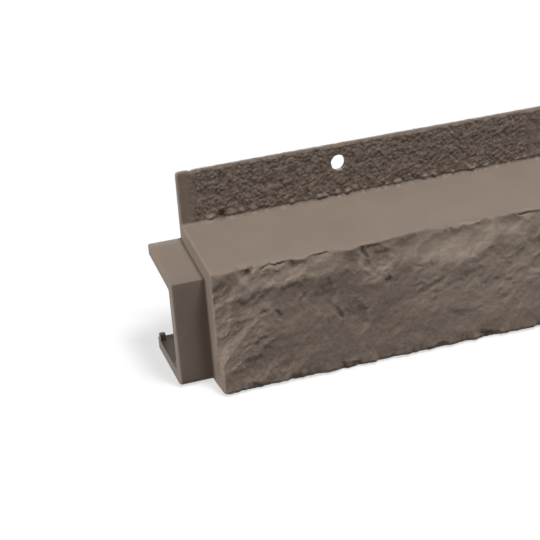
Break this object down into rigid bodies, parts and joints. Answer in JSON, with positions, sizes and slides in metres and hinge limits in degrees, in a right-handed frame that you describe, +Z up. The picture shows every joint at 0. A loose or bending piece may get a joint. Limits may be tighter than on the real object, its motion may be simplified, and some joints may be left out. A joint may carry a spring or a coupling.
{
  "type": "stone veneer ledge trim",
  "caption": "Hollow stone-look ledge trim with a rock-faced front, a smooth sloping ledge, a nailing flange and an overlap tab at its end.",
  "frame": {"origin": "middle of the footprint, on the underside of the floor it stands on", "axes": "+X along the length, away from the overlap tab; +Y back, towards the wall; +Z up"},
  "size_m": [1.0668, 0.057, 0.0691],
  "materials": {
    "stone_plastic": "matte"
  },
  "bodies": {
    "root": {"ledge_trim": "stone_plastic"}
  },
  "joints": []
}
